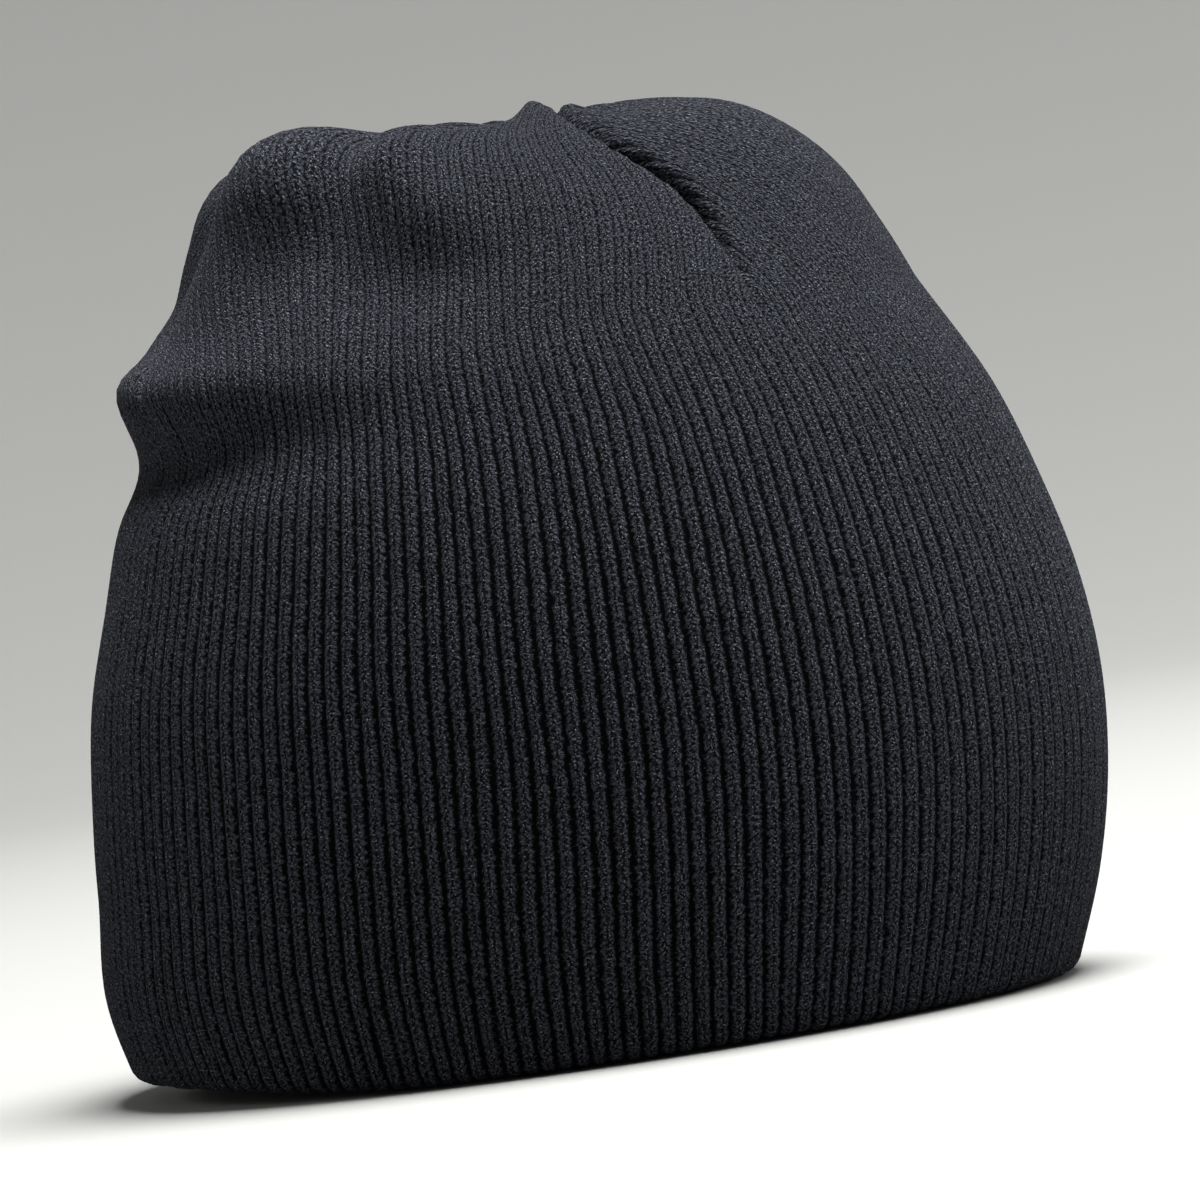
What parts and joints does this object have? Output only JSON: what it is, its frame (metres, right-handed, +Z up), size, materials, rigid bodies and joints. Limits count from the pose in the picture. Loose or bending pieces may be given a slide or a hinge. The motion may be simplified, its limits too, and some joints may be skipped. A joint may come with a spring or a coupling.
{
  "type": "knit beanie",
  "caption": "Cuffless double-layer rib-knit beanie in its worn shape, with a turned hem, darts meeting at the crown, a lining and a hanging care label.",
  "frame": {"origin": "middle of the hem opening, in the plane that the hem rests on", "axes": "+Z up through the crown, -Y towards the forehead, +X towards the wearer's left when the hat is worn"},
  "size_m": [0.1674, 0.2085, 0.1864],
  "materials": {
    "knit_yarn": "matt black acrylic yarn, knitted in 1 by 1 rib",
    "seam_thread": "spun black overlock thread",
    "label_tape": "white woven satin tape",
    "label_thread": "white spun thread"
  },
  "bodies": {
    "hat": {"outer_shell": "knit_yarn", "hem_fold": "knit_yarn", "lining": "knit_yarn", "outer_seam_front_right": "seam_thread", "outer_seam_left": "seam_thread", "outer_seam_back_right": "seam_thread", "lining_seam_front_right": "seam_thread", "lining_seam_left": "seam_thread", "lining_seam_back_right": "seam_thread", "crown_tack": "seam_thread", "label_stitch": "label_thread"},
    "label": {"care_label": "label_tape"}
  },
  "joints": [
    {"name": "label_swing", "type": "hinge", "parent": "hat", "child": "label", "pos_m": [0, 0.0877, 0.066], "axis": [-1, 0, 0], "range_deg": [0, 150]}
  ]
}
